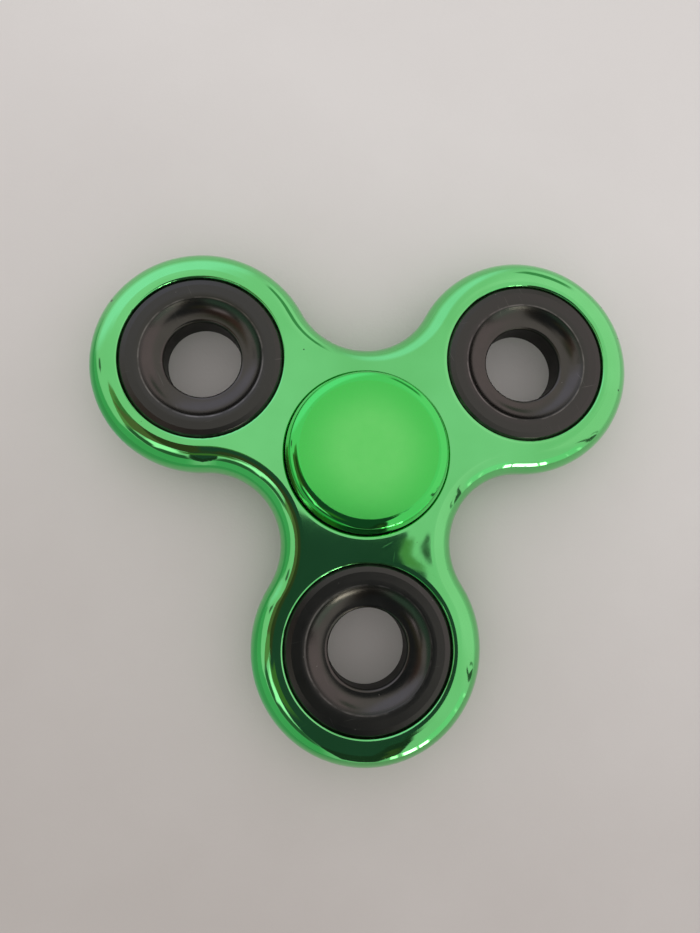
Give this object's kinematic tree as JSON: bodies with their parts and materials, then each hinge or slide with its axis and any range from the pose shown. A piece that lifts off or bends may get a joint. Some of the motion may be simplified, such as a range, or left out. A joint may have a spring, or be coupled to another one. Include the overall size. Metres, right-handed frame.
{
  "type": "fidget spinner",
  "caption": "Three-lobed hand spinner with a mirror-plated body, dished ring weights and a ball bearing held between two finger caps.",
  "frame": {"origin": "centre of the lower cap's flat face, on the spin axis", "axes": "+Z along the spin axis, towards the upper cap; +X across the two upper lobes; the lone lobe points to -Y"},
  "size_m": [0.075, 0.069, 0.013],
  "materials": {
    "plated_body": "mirror-bright green metallic plating over moulded ABS plastic",
    "plated_cap": "green metallic plating over moulded ABS plastic, satin on the flat face and polished on the rounded rim",
    "black_nickel_steel": "turned steel, black-nickel plated, semi-gloss",
    "bearing_steel": "ground and polished bearing steel",
    "ball_steel": "mirror-polished chrome steel",
    "sheet_steel": "pressed bright sheet steel"
  },
  "bodies": {
    "hub": {"cap_lower": "plated_cap", "cap_upper": "plated_cap", "bearing_inner_ring": "bearing_steel"},
    "rotor": {"spinner_body": "plated_body", "weight_right": "black_nickel_steel", "weight_left": "black_nickel_steel", "weight_bottom": "black_nickel_steel", "bearing_outer_ring": "bearing_steel", "shield_upper": "sheet_steel", "shield_lower": "sheet_steel"},
    "cage": {"cage_upper": "sheet_steel", "cage_lower": "sheet_steel", "cage_rivets": "sheet_steel"},
    "ball_1_body": {"ball_1": "ball_steel"},
    "ball_2_body": {"ball_2": "ball_steel"},
    "ball_3_body": {"ball_3": "ball_steel"},
    "ball_4_body": {"ball_4": "ball_steel"},
    "ball_5_body": {"ball_5": "ball_steel"},
    "ball_6_body": {"ball_6": "ball_steel"},
    "ball_7_body": {"ball_7": "ball_steel"}
  },
  "joints": [
    {"name": "rotor_spin", "type": "hinge", "parent": "hub", "child": "rotor", "pos_m": [0, 0, 0.0065], "axis": [0, 0, 1], "continuous": true},
    {"name": "cage_spin", "type": "hinge", "parent": "hub", "child": "cage", "pos_m": [0, 0, 0.0065], "axis": [0, 0, 1], "continuous": true},
    {"name": "ball_1_spin", "type": "hinge", "parent": "cage", "child": "ball_1_body", "pos_m": [0, 0.0075, 0.0065], "axis": [0, 0, 1], "continuous": true},
    {"name": "ball_2_spin", "type": "hinge", "parent": "cage", "child": "ball_2_body", "pos_m": [-0.00586, 0.00468, 0.0065], "axis": [0, 0, 1], "continuous": true},
    {"name": "ball_3_spin", "type": "hinge", "parent": "cage", "child": "ball_3_body", "pos_m": [-0.00731, -0.00167, 0.0065], "axis": [0, 0, 1], "continuous": true},
    {"name": "ball_4_spin", "type": "hinge", "parent": "cage", "child": "ball_4_body", "pos_m": [-0.00325, -0.00676, 0.0065], "axis": [0, 0, 1], "continuous": true},
    {"name": "ball_5_spin", "type": "hinge", "parent": "cage", "child": "ball_5_body", "pos_m": [0.00325, -0.00676, 0.0065], "axis": [0, 0, 1], "continuous": true},
    {"name": "ball_6_spin", "type": "hinge", "parent": "cage", "child": "ball_6_body", "pos_m": [0.00731, -0.00167, 0.0065], "axis": [0, 0, 1], "continuous": true},
    {"name": "ball_7_spin", "type": "hinge", "parent": "cage", "child": "ball_7_body", "pos_m": [0.00586, 0.00468, 0.0065], "axis": [0, 0, 1], "continuous": true}
  ],
  "couplings": [
    {"joint": "cage_spin", "follows": "rotor_spin", "ratio": 0.6323},
    {"joint": "ball_1_spin", "follows": "rotor_spin", "ratio": 1.7573},
    {"joint": "ball_2_spin", "follows": "rotor_spin", "ratio": 1.7573},
    {"joint": "ball_3_spin", "follows": "rotor_spin", "ratio": 1.7573},
    {"joint": "ball_4_spin", "follows": "rotor_spin", "ratio": 1.7573},
    {"joint": "ball_5_spin", "follows": "rotor_spin", "ratio": 1.7573},
    {"joint": "ball_6_spin", "follows": "rotor_spin", "ratio": 1.7573},
    {"joint": "ball_7_spin", "follows": "rotor_spin", "ratio": 1.7573}
  ]
}
